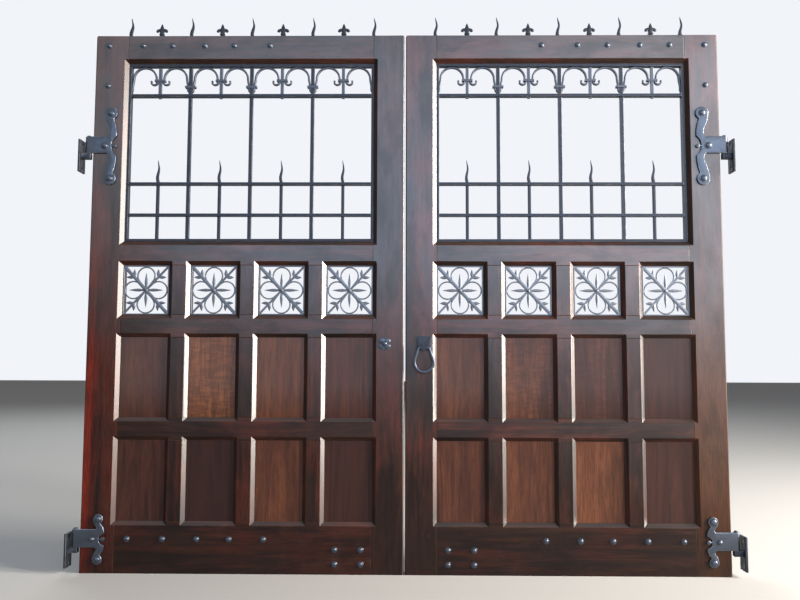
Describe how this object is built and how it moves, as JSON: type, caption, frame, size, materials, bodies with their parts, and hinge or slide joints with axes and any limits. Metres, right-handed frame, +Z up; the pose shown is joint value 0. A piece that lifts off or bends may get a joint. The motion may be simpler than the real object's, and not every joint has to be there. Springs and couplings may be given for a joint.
{
  "type": "pair of wooden gates",
  "caption": "Pair of framed and panelled timber gates with iron grilles, iron cresting, stud rows, shaped hinges on pintles, drop bolts and a ring pull.",
  "frame": {"origin": "middle of the pair on the ground line, halfway through the leaves' thickness", "axes": "+X along the pair towards the leaf with the ring, -Y out of the studded front, +Z up"},
  "size_m": [2.592, 0.1182, 2.206],
  "materials": {
    "timber": "dark red-brown stain under a worn semi-gloss varnish",
    "panels": "dark red-brown stain under a worn semi-gloss varnish",
    "pegs": "end grain, stained",
    "grille": "black satin paint on forged iron",
    "hardware": "black satin paint on forged iron",
    "studs": "black paint rubbed shiny on the domes"
  },
  "bodies": {
    "pintles": {"lower_pintles": "hardware", "upper_pintles": "hardware"},
    "left_leaf": {"left_bolt_plate": "hardware", "left_bottom_hinge": "hardware", "left_bottom_rail": "timber", "left_bottom_strap": "hardware", "left_crest_flames": "grille", "left_crest_fleurs": "grille", "left_cross_bars": "grille", "left_frieze_bars": "grille", "left_frieze_collars": "grille", "left_frieze_scrolls": "grille", "left_grille_frame": "grille", "left_grille_rail": "timber", "left_hinge_stile": "timber", "left_meeting_stile": "timber", "left_muntins": "timber", "left_panel_rail": "timber", "left_panels": "panels", "left_rose": "studs", "left_spear_bars": "grille", "left_square_grilles": "grille", "left_square_rail": "timber", "left_stud_bolts": "studs", "left_tall_bars": "grille", "left_tenon_pegs": "pegs", "left_top_hinge": "hardware", "left_top_rail": "timber", "left_top_strap": "hardware"},
    "right_leaf": {"right_bolt_plate": "hardware", "right_bottom_hinge": "hardware", "right_bottom_rail": "timber", "right_bottom_strap": "hardware", "right_crest_flames": "grille", "right_crest_fleurs": "grille", "right_cross_bars": "grille", "right_frieze_bars": "grille", "right_frieze_collars": "grille", "right_frieze_scrolls": "grille", "right_grille_frame": "grille", "right_grille_rail": "timber", "right_hinge_stile": "timber", "right_meeting_stile": "timber", "right_muntins": "timber", "right_panel_rail": "timber", "right_panels": "panels", "right_ring_plate": "hardware", "right_spear_bars": "grille", "right_square_grilles": "grille", "right_square_rail": "timber", "right_stud_bolts": "studs", "right_tall_bars": "grille", "right_tenon_pegs": "pegs", "right_top_hinge": "hardware", "right_top_rail": "timber", "right_top_strap": "hardware"},
    "left_bolt": {"left_drop_bolt": "hardware"},
    "right_bolt": {"right_drop_bolt": "hardware"},
    "ring": {"right_ring": "hardware"}
  },
  "joints": [
    {"name": "right_leaf_swing", "type": "hinge", "parent": "pintles", "child": "right_leaf", "pos_m": [1.264, -0.024, 0.9], "axis": [0, 0, 1], "range_deg": [0, 100]},
    {"name": "left_leaf_swing", "type": "hinge", "parent": "pintles", "child": "left_leaf", "pos_m": [-1.264, -0.024, 0.9], "axis": [0, 0, -1], "range_deg": [0, 100]},
    {"name": "right_bolt_drop", "type": "slide", "parent": "right_leaf", "child": "right_bolt", "axis": [0, 0, -1], "range_m": [0, 0.054]},
    {"name": "left_bolt_drop", "type": "slide", "parent": "left_leaf", "child": "left_bolt", "axis": [0, 0, -1], "range_m": [0, 0.054]},
    {"name": "ring_swing", "type": "hinge", "parent": "right_leaf", "child": "ring", "pos_m": [0.075, -0.046, 0.865], "axis": [-1, 0, 0], "range_deg": [-5, 180]}
  ]
}
